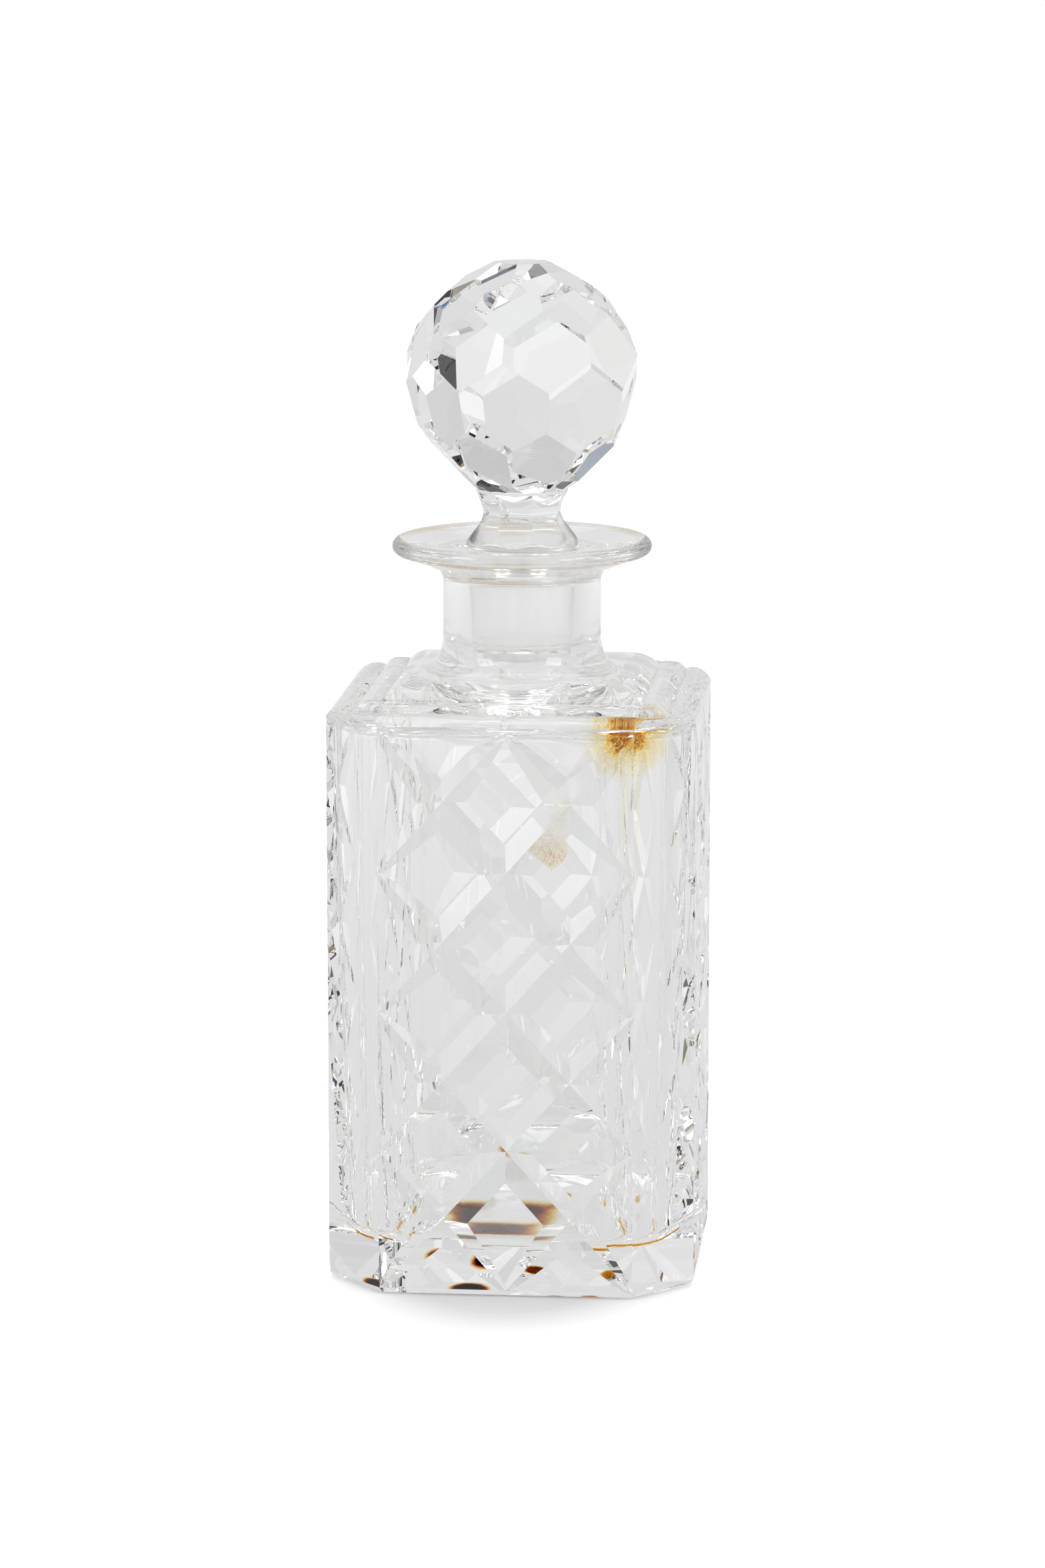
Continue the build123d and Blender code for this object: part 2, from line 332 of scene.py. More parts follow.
def rings_to_solid(name, rings, smooth=True):
    """Closed solid through rings of the same number of points, capped with a flat face at each end."""
    count = len(rings[0])
    vertices = [point for ring in rings for point in ring]
    faces, flags = [], []
    for level in range(len(rings) - 1):
        for n in range(count):
            a, b = level * count + n, level * count + (n + 1) % count
            faces.append((a, b, b + count, a + count))
            flags.append(smooth)
    faces += [tuple(range(count))[::-1], tuple(range((len(rings) - 1) * count, len(rings) * count))]
    return solid(name, vertices, faces, flags + [False, False])


def turned(name, profile, around=192, radius_at=None, turn=0.0):
    """Lathe solid from (radius, height) pairs; radius_at(radius, height, angle) can flute it."""
    rings = []
    for radius, height in profile:
        ring = []
        for n in range(around):
            angle = math.tau * n / around
            r = radius_at(radius, height, angle) if radius_at else radius
            ring.append((r * math.sin(angle + turn), -r * math.cos(angle + turn), height))
        rings.append(ring)
    return rings_to_solid(name, rings)


def swept_prism(name, outline, axis, reach, smooth):
    """Outline of (across, height) pairs drawn out both ways along the x or y axis."""
    place = (lambda a, h, d: (a, d, h)) if axis == "y" else (lambda a, h, d: (d, a, h))
    count = len(outline)
    vertices = [place(a, h, -reach) for a, h in outline] + [place(a, h, reach) for a, h in outline]
    faces = [(n, (n + 1) % count, count + (n + 1) % count, count + n) for n in range(count)]
    faces += [tuple(range(count)), tuple(range(count, 2 * count))]
    return solid(name, vertices, faces, smooth + [False, False])


# ---- the bottle before it is cut ----------------------------------------------------
def block():
    """Chamfered square block with the bevel round its foot; it stands up into the shoulder."""
    def eight(half, leg, height):
        cut = half - leg
        return [(x, y, height) for x, y in ((cut, -half), (half, -cut), (half, cut), (cut, half),
                                            (-cut, half), (-half, cut), (-half, -cut), (-cut, -half))]
    foot_leg = CORNER_LEG - FOOT_BEVEL * (2 - math.sqrt(2))
    return rings_to_solid("block", [
        eight(HALF - FOOT_BEVEL, foot_leg, 0), eight(HALF, CORNER_LEG, FOOT_BEVEL),
        eight(HALF, CORNER_LEG, FLAT_HEIGHT + 2.3)], smooth=False)


def shoulder_side(steps=20):
    """Half of the shoulder's line, from the wall in to the flat."""
    points = [(HALF - inward, WALL_TOP + rise) for inward, rise in SHOULDER]
    line = [points[0]]
    for n in (0, 2, 4):
        line += arc(*points[n:n + 3], steps)
    return line


def shoulder(axis):
    """What the shoulder leaves of the block, drawn out along one axis."""
    side = shoulder_side()
    outline = [(HALF + 1, -5), (HALF + 1, WALL_TOP)] + side
    outline += [(-a, h) for a, h in reversed(outline)]
    arched = [True] * (len(side) - 1)
    curved = [False, False] + arched + [False] + arched + [False, False, False]
    return swept_prism(f"shoulder_{axis}", outline, axis, BODY_WIDTH, curved)


def neck():
    """Neck and lip up from the flat, with a foot that is sunk into the block."""
    line = [(0.01, WALL_TOP), (NECK_FOOT_RADIUS, WALL_TOP), (NECK_FOOT_RADIUS, FLAT_HEIGHT)]
    for n in range(1, 29):
        turn = math.pi / 2 * n / 28
        line.append((NECK_FOOT_RADIUS - NECK_FOOT_REACH * math.sin(turn),
                     FLAT_HEIGHT + NECK_FOOT_RISE * (1 - math.cos(turn))))
    flare, under_edge, rim = (23.0, NECK_HEAD + 3.7), (30.2, 177.0), (29.8, LIP_HEIGHT)
    line += [(NECK_RADIUS, NECK_HEAD)]
    line += arc((NECK_RADIUS, NECK_HEAD), (20.4, NECK_HEAD + 2.3), flare, 14)
    line += arc(flare, (26.9, 175.9), under_edge, 4)
    line += arc(under_edge, (LIP_RADIUS, LIP_HEIGHT - 1.6), rim, 40)
    line += arc(rim, (22.0, MOUTH_HEIGHT + 0.8), (MOUTH_RADIUS, MOUTH_HEIGHT), 20)
    return turned("neck", line + [(0.01, MOUTH_HEIGHT)])


# The wall is a curve. The CAD has a straight taper there, up to 1.1 mm nearer the axis on the
# flats and 1.5 mm in the corners, so this bottle has about a twentieth less glass.
WALL_HALVES = curve([(34.5, 9), (35.2, 22), (36.1, 40), (37.2, 65), (38.0, 88), (38.3, 108),
                     (38.5, 125), (38.5, 141)], 10)      # half width of the blown inside, height
CORNER_FOOT, CORNER_HEAD = 14.0, 20.0                    # rounding of its corners, at floor and ceiling
FLOOR, CEILING, FLOOR_FILLET, CEILING_FILLET = 10.0, 140.2, 4.5, 3.6
THROAT_RADIUS, THROAT_FILLET = 12.5, 8.0


def rounded(half, corner, angle):
    """Point of a rounded square, at an angle from the front towards +X."""
    dx, dy = math.sin(angle), -math.cos(angle)
    core = half - corner
    big, small = max(abs(dx), abs(dy)), min(abs(dx), abs(dy))
    reach = half / big
    if reach * small > core:
        b = core * (big + small)
        reach = b + math.sqrt(max(b * b - (2 * core * core - corner * corner), 0))
    return dx * reach, dy * reach


def wall_point(angle, height, inset=0.0):
    """Point of the blown wall, which turns into floor and ceiling by fillets."""
    for (h0, z0), (h1, z1) in zip(WALL_HALVES, WALL_HALVES[1:]):
        if height <= z1:
            break
    half = h0 + (h1 - h0) * (height - z0) / (z1 - z0)
    fillet = 0.0
    for end, size in ((FLOOR, FLOOR_FILLET), (CEILING, CEILING_FILLET)):
        left = 1 - abs(height - end) / size
        if left > 0:
            fillet = size * (1 - math.sqrt(max(1 - left**2, 0)))
    corner = CORNER_FOOT + (CORNER_HEAD - CORNER_FOOT) * (height - FLOOR) / (CEILING - FLOOR)
    return (*rounded(half - fillet - inset, corner - 0.6 * fillet - inset, angle), height)


def blown_inside(flat_steps=10, corner_steps=44, fillet_steps=20, wall_steps=50):
    """Inside of the bottle: a rounded square that narrows downward, then the throat and the bore."""
    core, corner = 19.3, 17.0        # of the middle height; they set how the points are shared out
    side = math.atan2(core, core + corner)
    quarter = [-side + 2 * side * n / flat_steps for n in range(flat_steps)]
    for n in range(corner_steps):
        turn = math.pi / 2 * n / corner_steps
        quarter.append(math.atan2(core + corner * math.sin(turn), core + corner * math.cos(turn)))
    angles = [angle + math.pi / 2 * side_number for side_number in range(4) for angle in quarter]
    turns = [math.pi / 2 * n / fillet_steps for n in range(fillet_steps + 1)]
    low, high = FLOOR + FLOOR_FILLET, CEILING - CEILING_FILLET
    heights = [FLOOR + FLOOR_FILLET * (1 - math.cos(turn)) for turn in turns[:-1]]
    heights += [low + (high - low) * n / wall_steps for n in range(wall_steps + 1)]
    heights += [CEILING - CEILING_FILLET * (1 - math.sin(turn)) for turn in turns[1:]]
    rings = [[wall_point(angle, height) for angle in angles] for height in heights]

    def circle(radius, height):
        return [(radius * math.sin(angle), -radius * math.cos(angle), height) for angle in angles]

    for n in range(25):
        turn = math.pi / 2 * n / 24
        rings.append(circle(THROAT_RADIUS + THROAT_FILLET * (1 - math.sin(turn)),
                            CEILING + THROAT_FILLET * (1 - math.cos(turn))))
    rings.append(circle(THROAT_RADIUS, GROUND_FOOT - 0.4))
    rings += [circle(plug_radius(h) + PLUG_CLEARANCE, h) for h in (GROUND_FOOT, 162, 170, MOUTH_HEIGHT)]
    rings.append(circle(plug_radius(MOUTH_HEIGHT) + 1.3, MOUTH_HEIGHT + 1.5))
    return rings_to_solid("blown_inside", rings)


def v_cutter(name, cells):
    """Wheel cut as long as this many cells, running out over its first and last cell."""
    run = math.hypot(CELL_WIDTH, CELL_HEIGHT)
    places = [(share * run - cells * run / 2, depth) for share, depth in RUN_OUT]
    back = [(-place, depth) for place, depth in reversed(places)]
    places += back if cells > 2 else back[1:]
    top = CUT_DEPTH + 1.0
    half_top = CUT_HALF_WIDTH * top / CUT_DEPTH
    rings = [[(place, 0, -depth), (place, half_top, top - depth), (place, -half_top, top - depth)]
             for place, depth in places]
    return rings_to_solid(name, rings, smooth=False)


def mitre_cutter(name, hand):
    """Cutter of one shallow mitre cut, from the middle of a side up to the flat; hand is 1 or -1."""
    along = Vector((hand * MITRE_REACH, FLAT_EDGE)).normalized()
    nx, ny = along.y * MITRE_HALF_WIDTH, -along.x * MITRE_HALF_WIDTH
    rings = []
    for a, h in shoulder_side(6):
        x, y, top = hand * MITRE_REACH * (HALF - a) / FLAT_EDGE, -a, h + 1.2 * MITRE_DEPTH
        rings.append([(x, y, h - MITRE_DEPTH), (x + nx, y + ny, top), (x - nx, y - ny, top)])
    lead = [(x - along.x, y - along.y, h - 0.4) for x, y, h in rings[0]]
    return rings_to_solid(name, [lead] + rings, smooth=False)


# ---- node trees -----------------------------------------------------------------
def new_tree(name, inputs):
    """Geometry tree with a Geometry input, these named inputs, and a Geometry output."""
    tree = bpy.data.node_groups.new(name, "GeometryNodeTree")
    tree.interface.new_socket("Geometry", in_out="INPUT", socket_type="NodeSocketGeometry")
    for label, kind, value in inputs:
        item = tree.interface.new_socket(label, in_out="INPUT", socket_type=kind)
        if value is not None:
            item.default_value = value
    tree.interface.new_socket("Geometry", in_out="OUTPUT", socket_type="NodeSocketGeometry")
    return tree, tree.nodes.new("NodeGroupInput"), tree.nodes.new("NodeGroupOutput")


def step(tree, kind, links=(), **settings):
    """One node with its settings, and links into it as (socket, source)."""
    node = tree.nodes.new(kind)
    for key, value in settings.items():
        setattr(node, key, value)
    for socket, source in links:
        if hasattr(source, "is_output"):
            tree.links.new(source, node.inputs[socket])
        else:
            node.inputs[socket].default_value = source
    return node


def sum_of(tree, operation, first, second=0.0, third=0.0):
    return made(tree, "ShaderNodeMath", [(0, first), (1, second), (2, third)], operation=operation)


def place_of(tree, x, y, z):
    return made(tree, "ShaderNodeCombineXYZ", [(0, x), (1, y), (2, z)])


def made(*arguments, **settings):
    return step(*arguments, **settings).outputs[0]


def mesh_of(tree, socket):
    return step(tree, "GeometryNodeObjectInfo", [("Object", socket)]).outputs["Geometry"]


def boolean(tree, operation, first, others, crossing=False):
    """Exact boolean; crossing is for cutters that run into each other."""
    node = step(tree, "GeometryNodeMeshBoolean", operation=operation, solver="EXACT")
    node.inputs["Self Intersection"].default_value = crossing
    if first is not None:
        tree.links.new(first, node.inputs["Mesh 1"])
    for other in others:
        tree.links.new(other, node.inputs["Mesh 2"])
    return node.outputs[0]


def close_tree(tree, out, geometry, material):
    """Last nodes of a tree: weld, realize, set the material."""
    welded = made(tree, "GeometryNodeMergeByDistance", [("Geometry", geometry), ("Distance", WELD)])
    real = made(tree, "GeometryNodeRealizeInstances", [("Geometry", welded)])
    done = made(tree, "GeometryNodeSetMaterial", [("Geometry", real), ("Material", material)])
    tree.links.new(done, out.inputs[0])
    return tree


def applied(piece):
    """The piece's mesh with its modifiers applied."""
    graph = bpy.context.evaluated_depsgraph_get()
    return bpy.data.meshes.new_from_object(piece.evaluated_get(graph), depsgraph=graph)


def run_tree(blank, tree, values, name):
    """Sets the tree's inputs by identifier, gives the result as a plain mesh, removes the blanks."""
    modifier = blank.modifiers.new("build", "NODES")
    modifier.node_group = tree
    named = {item.name: item.identifier for item in tree.interface.items_tree if item.in_out == "INPUT"}
    for label, value in values.items():
        modifier[named[label]] = value
    mesh = applied(blank)
    mesh.name = name
    for used in [blank, *values.values()]:
        if isinstance(used, bpy.types.Object):
            bpy.data.objects.remove(used, do_unlink=True)
    return placed(name, mesh)


def lattice_tree():
    """Cuts the block: shoulder, neck, lattice on all four sides, and the blown inside."""
    shapes = ("Shoulder Across", "Shoulder Along", "Neck", "Blown Inside", "Long Cut", "Short Cut",
              "Mitre Right", "Mitre Left")
    tree, given, out = new_tree("cut_bottle", [
        *((label, "NodeSocketObject", None) for label in shapes),
        *((label, "NodeSocketFloat", length * MM) for label, length in LATTICE_LENGTHS.items()),
        ("Crystal", "NodeSocketMaterial", None)])
    value = given.outputs
    front = sum_of(tree, "MULTIPLY", value["Face Reach"], -1.0)
    climb = sum_of(tree, "ARCTAN2", value["Cell Height"], value["Cell Width"])

    def mesh(label):
        return mesh_of(tree, value[label])

    def height(rows):
        return sum_of(tree, "MULTIPLY_ADD", value["Cell Height"], float(rows), value["Lattice Foot"])

    one_side = step(tree, "GeometryNodeJoinGeometry")
    for side in (1, -1):
        # the long cuts, one above the other through the middle of the face
        gap = sum_of(tree, "MULTIPLY", value["Cell Height"], 2.0)
        long_places = made(tree, "GeometryNodeMeshLine", [
            ("Count", 3), ("Start Location", place_of(tree, 0.0, front, height(2))),
            ("Offset", place_of(tree, 0.0, 0.0, gap))], mode="OFFSET")
        # the short ones, near the foot and near the top
        near = sum_of(tree, "MULTIPLY", value["Cell Width"], float(side))
        far = sum_of(tree, "MULTIPLY", value["Cell Width"], float(-side))
        short_places = made(tree, "GeometryNodeMeshLine", [
            ("Count", 2), ("Start Location", place_of(tree, near, front, height(1))),
            ("Offset", place_of(tree, far, front, height(7)))], mode="END_POINTS")
        lean = sum_of(tree, "MULTIPLY", climb, float(-side))
        for places, label in ((long_places, "Long Cut"), (short_places, "Short Cut")):
            stood = made(tree, "GeometryNodeTransform", [
                ("Geometry", mesh(label)), ("Rotation", (math.pi / 2, 0, 0))])
            leant = made(tree, "GeometryNodeInstanceOnPoints", [
                ("Points", places), ("Instance", stood), ("Rotation", place_of(tree, 0.0, lean, 0.0))])
            tree.links.new(leant, one_side.inputs[0])
    for label in ("Mitre Right", "Mitre Left"):
        tree.links.new(mesh(label), one_side.inputs[0])
    turns = made(tree, "GeometryNodeMeshLine", [("Count", 4), ("Offset", (0, 0, 0))], mode="OFFSET")
    quarter = sum_of(tree, "MULTIPLY", made(tree, "GeometryNodeInputIndex"), math.pi / 2)
    all_sides = made(tree, "GeometryNodeInstanceOnPoints", [
        ("Points", turns), ("Instance", one_side.outputs[0]),
        ("Rotation", place_of(tree, 0.0, 0.0, quarter))])
    cuts = made(tree, "GeometryNodeRealizeInstances", [("Geometry", all_sides)])

    blank = boolean(tree, "INTERSECT", None, [
        value["Geometry"], mesh("Shoulder Across"), mesh("Shoulder Along")])
    whole = boolean(tree, "UNION", None, [blank, mesh("Neck")])
    cut = boolean(tree, "DIFFERENCE", whole, [cuts], crossing=True)
    hollow = boolean(tree, "DIFFERENCE", cut, [mesh("Blown Inside")])
    return close_tree(tree, out, hollow, value["Crystal"])


# ---- the stopper before it is cut ---------------------------------------------------
def plug_and_stem():
    """Ground plug, collar and fluted stem up into the ball, in one turned piece."""
    plug_heights = (PLUG_FOOT + PLUG_CHAMFER, 156, 162, 168, 174, COLLAR_FOOT)
    line = [(0.01, PLUG_FOOT), (PLUG_FOOT_RADIUS - PLUG_CHAMFER, PLUG_FOOT)]
    line += [(plug_radius(height), height) for height in plug_heights] + [(COLLAR_RADIUS, COLLAR_FOOT)]
    outer = curve([(radius, MOUTH_HEIGHT + rise) for rise, radius, _ in reversed(STEM)], 6)
    inner = curve([(flat, MOUTH_HEIGHT + rise) for rise, _, flat in reversed(STEM)], 6)
    line += outer + [(11.4, RING_HEAD), (11.4, RING_HEAD + 6), (0.01, RING_HEAD + 6)]
    fluted = {height: flat for (_, height), (flat, _) in zip(outer, inner)}

    def radius_at(radius, height, angle):
        if height not in fluted:
            return radius
        turn = math.tau / COLUMNS
        off = (angle + turn / 2) % turn - turn / 2
        return min(radius, fluted[height] / math.cos(off))

    return turned("plug_and_stem", line, radius_at=radius_at, turn=STOPPER_TURN)


def ball_blank():
    """Round blank of the ball, about its own middle."""
    around = [math.tau * n / (2 * BLANK_STEPS) for n in range(2 * BLANK_STEPS)]
    rings = []
    for n in range(1, BLANK_STEPS):
        turn = math.pi * n / BLANK_STEPS
        radius, height = BLANK_RADIUS * math.sin(turn), -BLANK_RADIUS * math.cos(turn)
        rings.append([(radius * math.sin(angle), -radius * math.cos(angle), height) for angle in around])
    return rings_to_solid("ball_blank", rings, smooth=False)


def wheel_block():
    """What the wheel takes away under one facet: a block standing on the facet's plane."""
    reach = WHEEL_REACH
    corners = [(-reach, -reach), (reach, -reach), (reach, reach), (-reach, reach)]
    rings = [[(x, y, height) for x, y in corners] for height in (0, WHEEL_HEIGHT)]
    return rings_to_solid("wheel_block", rings, smooth=False)


def facet_tree():
    """Cuts a round blank to rows of flat facets, with a flat crown and foot, and joins the stem."""
    tree, given, out = new_tree("faceted_stopper", [
        ("Facet Block", "NodeSocketObject", None), ("Stem", "NodeSocketObject", None),
        ("Columns", "NodeSocketInt", COLUMNS), ("First Column Turn", "NodeSocketFloat", STOPPER_TURN),
        *((label, "NodeSocketFloat", length * MM) for label, length in BALL_LENGTHS.items()),
        ("Crystal", "NodeSocketMaterial", None),
        *((label, "NodeSocketFloat", number) for label, number in FACETS.items())])
    value = given.outputs
    block = mesh_of(tree, value["Facet Block"])
    column = sum_of(tree, "DIVIDE", math.tau, value["Columns"])
    index = made(tree, "GeometryNodeInputIndex")
    wheel = step(tree, "GeometryNodeJoinGeometry")

    def moved(geometry, height, rotation=(0, 0, 0)):
        return made(tree, "GeometryNodeTransform", [
            ("Geometry", geometry), ("Translation", place_of(tree, 0.0, 0.0, height)),
            ("Rotation", rotation)])

    for n in range(1, len(FACET_ROWS) + 1):
        marks = made(tree, "GeometryNodeMeshLine", [("Count", value["Columns"]), ("Offset", (0, 0, 0))],
                     mode="OFFSET")
        shifted = sum_of(tree, "MULTIPLY_ADD", value[f"Row {n} Half Turn"], 0.5, index)
        heading = sum_of(tree, "MULTIPLY_ADD", shifted, column, value["First Column Turn"])
        tilt = sum_of(tree, "SUBTRACT", math.pi / 2, value[f"Row {n} Latitude"])
        row = made(tree, "GeometryNodeInstanceOnPoints", [
            ("Points", marks), ("Instance", moved(block, value[f"Row {n} Distance"])),
            ("Rotation", place_of(tree, tilt, 0.0, heading))])
        tree.links.new(row, wheel.inputs[0])
    below = sum_of(tree, "MULTIPLY", value["Foot"], -1.0)
    tree.links.new(moved(block, value["Crown"]), wheel.inputs[0])
    tree.links.new(moved(block, below, (math.pi, 0, 0)), wheel.inputs[0])
    taken = made(tree, "GeometryNodeRealizeInstances", [("Geometry", wheel.outputs[0])])
    ball = boolean(tree, "DIFFERENCE", value["Geometry"], [taken], crossing=True)
    whole = boolean(tree, "UNION", None, [moved(ball, value["Ball Height"]), mesh_of(tree, value["Stem"])])
    return close_tree(tree, out, whole, value["Crystal"])


def soften_arrises(piece):
    """Every cut edge of polished glass is a very narrow round."""
    piece.data.set_sharp_from_angle(angle=ARRIS_ANGLE)
    bevel = piece.modifiers.new("arrises", "BEVEL")
    bevel.limit_method = "ANGLE"
    bevel.angle_limit = ARRIS_ANGLE
    bevel.width = ARRIS * MM
    bevel.segments = 2
    bevel.use_clamp_overlap = True
    bevel.harden_normals = False
    mesh = applied(piece)
    piece.modifiers.remove(bevel)
    piece.data = mesh


# ---- both glass pieces ------------------------------------------------------------
def metres(values):
    return {label: value * MM for label, value in values.items()}


bottle_glass = run_tree(block(), lattice_tree(), {
    "Shoulder Across": shoulder("y"), "Shoulder Along": shoulder("x"), "Neck": neck(),
    "Blown Inside": blown_inside(),
    "Long Cut": v_cutter("long_cut", 4), "Short Cut": v_cutter("short_cut", 2),
    "Mitre Right": mitre_cutter("mitre_right", 1), "Mitre Left": mitre_cutter("mitre_left", -1),
    "Crystal": bottle_crystal, **metres(LATTICE_LENGTHS)}, "bottle_glass")
stopper_glass = run_tree(ball_blank(), facet_tree(), {
    "Facet Block": wheel_block(), "Stem": plug_and_stem(), "Columns": COLUMNS,
    "First Column Turn": STOPPER_TURN, "Crystal": stopper_crystal, **metres(BALL_LENGTHS), **FACETS,
}, "stopper_glass")
for body, piece in (("bottle", bottle_glass), ("stopper", stopper_glass)):
    soften_arrises(piece)
    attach(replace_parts(piece, body), body)


# ---- residue of the spirit that dried in the bottle -----------------------------------
FILM_INSET, FILM_THICKNESS = 0.09, 0.04                    # from the blown wall out into the glass
CRUST_MIDDLE, CRUST_RADII, DRIPS_ACROSS = (27.6, 137.4), (5.4, 5.8), 28.4
POOL_MIDDLE, POOL_REACH, POOL_DENSE = (-3.2, -18.6), (11.6, 8.6), 0.92
DROPS = [((-13.2, 21.0), (5.6, 9.8), 0.80), ((9.2, 12.2), (3.4, 4.2), 0.55),
         ((18.0, 10.0), (2.8, 4.5), 0.30)]                  # middle, radii, how dense
TIDE_HEIGHT = 11.1


def film(name, rows, material, upward=False):
    """Thin closed film over rows of points; its second side is nearer the axis of the bottle, or above."""
    def second(point):
        x, y, z = point
        if upward:
            return x, y, z + FILM_THICKNESS
        share = 1 - FILM_THICKNESS / math.hypot(x, y)
        return x * share, y * share, z

    tall, wide = len(rows), len(rows[0])
    vertices = [point for row in rows for point in row]
    vertices += [second(point) for point in vertices]
    back, faces = tall * wide, []
    for r in range(tall - 1):
        for c in range(wide - 1):
            a, b = r * wide + c, r * wide + c + 1
            faces += [(a, b, b + wide, a + wide), (back + a, back + a + wide, back + b + wide, back + b)]
    rim = list(range(wide)) + [r * wide + wide - 1 for r in range(1, tall)]
    rim += [(tall - 1) * wide + c for c in range(wide - 2, -1, -1)]
    rim += [r * wide for r in range(tall - 2, 0, -1)]
    faces += [(a, b, back + b, back + a) for a, b in zip(rim, rim[1:] + rim[:1])]
    piece = solid(name, vertices, faces, True)
    piece.data.materials.append(material)
    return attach(piece, "bottle")


def grid_on_wall(angles, heights, across, up):
    """Rows of points along the blown wall, a hair inside the glass, between two angles and two heights."""
    low, high = angles
    foot, head = heights
    turns = [math.radians(low + (high - low) * n / across) for n in range(across + 1)]
    levels = [foot + (head - foot) * n / up for n in range(up + 1)]
    return [[wall_point(turn, level, -FILM_INSET) for turn in turns] for level in levels]


def stained(name, thickness, ramp, solid_from, body_colour):
    """Dried film: clear where thickness is 0, tinted by the ramp, with a matt body from solid_from on."""
    material, tree = new_material(name)
    amount = thickness(tree, *where(tree))
    clear = add_node(tree, "ShaderNodeBsdfTransparent")
    tree.links.new(ramp_colour(tree, amount, ramp), clear.inputs["Color"])
    body = add_node(tree, "ShaderNodeBsdfDiffuse", Color=(*body_colour, 1))
    surface(tree, mixed(tree, fall(tree, amount, 1.0, solid_from), clear.outputs[0], body.outputs[0]))
    return material


def crust_thickness(tree, point, x, y, z):
    """Orange crust under the shoulder, with threads that spread from its core, and drips below it."""
    swirl = noise(tree, point, 0.30, detail=5)
    reach = scaled(tree, swirl, 0.22, oval(tree, x, z, CRUST_MIDDLE, CRUST_RADII))
    grain = noise(tree, point, 0.8, detail=8, roughness=0.75, distortion=1.5)
    core = clamped(tree, times(tree, fall(tree, reach, 0.25, 0.85), scaled(tree, grain, 1.2, 0.72)))
    thread = apart(tree, noise(tree, point, 0.8, detail=6, roughness=0.65, distortion=3.0), 0.0)
    threads = times(tree, fall(tree, thread, 0.02, 0.22), fall(tree, reach, 0.5, 1.9), 0.50)
    haze = times(tree, fall(tree, reach, 0.3, 1.9), 0.13)
    beside = apart(tree, scaled(tree, noise(tree, point, 0.12, detail=2), 0.5, x), DRIPS_ACROSS)
    speckle = fall(tree, noise(tree, point, 0.55, detail=4, stretch=(0.5, 0.5, 1.6)), 0.85, 0.45)
    spots = times(tree, fall(tree, beside, 0.2, 1.6), fall(tree, z, 128.0, 112.0), speckle)
    streak = times(tree, fall(tree, beside, 0.2, 1.4), fall(tree, z, 124.0, 96.0), 0.05)
    return most(tree, core, threads, haze, spots, streak)


def tan_thickness(tree, point, x, y, z):
    """Pale brown patch, wide and grainy at its foot and drawn up to a blunt point."""
    ragged = noise(tree, point, 0.35, detail=7, roughness=0.65)
    down = scaled(tree, z, -1.0, 120.0)
    left = scaled(tree, down, 0.69, plus(tree, x, -10.6))
    right = scaled(tree, down, -0.08, scaled(tree, x, -1.0, 15.8))
    foot = math_node(tree, "SUBTRACT", z, scaled(tree, apart(tree, x, 11.0), 0.75, 105.2))
    patch = fall(tree, scaled(tree, ragged, 0.55, least(tree, left, right, foot)), 1.0, 0.0)
    grain = fall(tree, noise(tree, point, 1.5, detail=8, roughness=0.85), 0.75, -0.25)
    low = fall(tree, z, 108.0, 115.0)
    dense = scaled(tree, grain, scaled(tree, low, 0.65, 0.18), scaled(tree, low, 0.10, 0.05))
    return clamped(tree, times(tree, patch, dense))


def floor_thickness(tree, point, x, y, z):
    """What dried on the floor: a dark pool toward the front, and small drops toward the back corners."""
    ragged = times(tree, noise(tree, point, 0.16, detail=8, roughness=0.7), 0.10)
    grain = times(tree, noise(tree, point, 0.45, detail=8, roughness=0.8), 0.30)
    off = [times(tree, apart(tree, value, place), 1 / reach)
           for value, place, reach in zip((x, y), POOL_MIDDLE, POOL_REACH)]
    thinner = times(tree, fall(tree, x, 6.0, -4.0), -0.22)
    stains = [times(tree, fall(tree, plus(tree, most(tree, *off), ragged), 0.30, 1.04),
                    plus(tree, grain, POOL_DENSE, thinner))]
    for middle, radii, dense in DROPS:
        edge = fall(tree, plus(tree, oval(tree, x, y, middle, radii), ragged), 0.55, 1.05)
        stains.append(times(tree, edge, plus(tree, grain, dense)))
    return clamped(tree, most(tree, *stains))


def tide_thickness(tree, point, x, y, z):
    """Amber line where the last of the spirit stood along the foot of the wall."""
    off = apart(tree, scaled(tree, noise(tree, point, 0.15, detail=4), 0.25, z), TIDE_HEIGHT)
    patchy = scaled(tree, noise(tree, point, 0.12, detail=3), 0.35, 0.75)
    return clamped(tree, times(tree, fall(tree, off, 0.05, 0.55), patchy))


# colour of what shines through, from no film to the thickest
RUST = [(0.0, (1, 1, 1)), (0.2, (0.99, 0.92, 0.70)), (0.45, (0.95, 0.74, 0.26)), (0.75, (0.85, 0.48, 0.06)),
        (1.0, (0.55, 0.24, 0.015))]
TAN = [(0.0, (1, 1, 1)), (0.3, (0.97, 0.92, 0.83)), (0.7, (0.88, 0.75, 0.56)), (1.0, (0.74, 0.54, 0.32))]
BROWN = [(0.0, (1, 1, 1)), (0.2, (0.95, 0.84, 0.58)), (0.45, (0.74, 0.44, 0.12)), (0.7, (0.36, 0.15, 0.035)),
         (1.0, (0.13, 0.045, 0.012))]
AMBER = [(0.0, (1, 1, 1)), (0.4, (0.97, 0.84, 0.50)), (1.0, (0.80, 0.52, 0.10))]
film("orange_crust", grid_on_wall((24, 57), (90, 140), across=54, up=60),
     stained("orange_crust", crust_thickness, RUST, 0.70, (0.62, 0.30, 0.03)))
film("tan_patch", grid_on_wall((4.5, 23.9), (102, 124), across=20, up=20),
     stained("tan_patch", tan_thickness, TAN, 0.9, (0.70, 0.54, 0.34)))
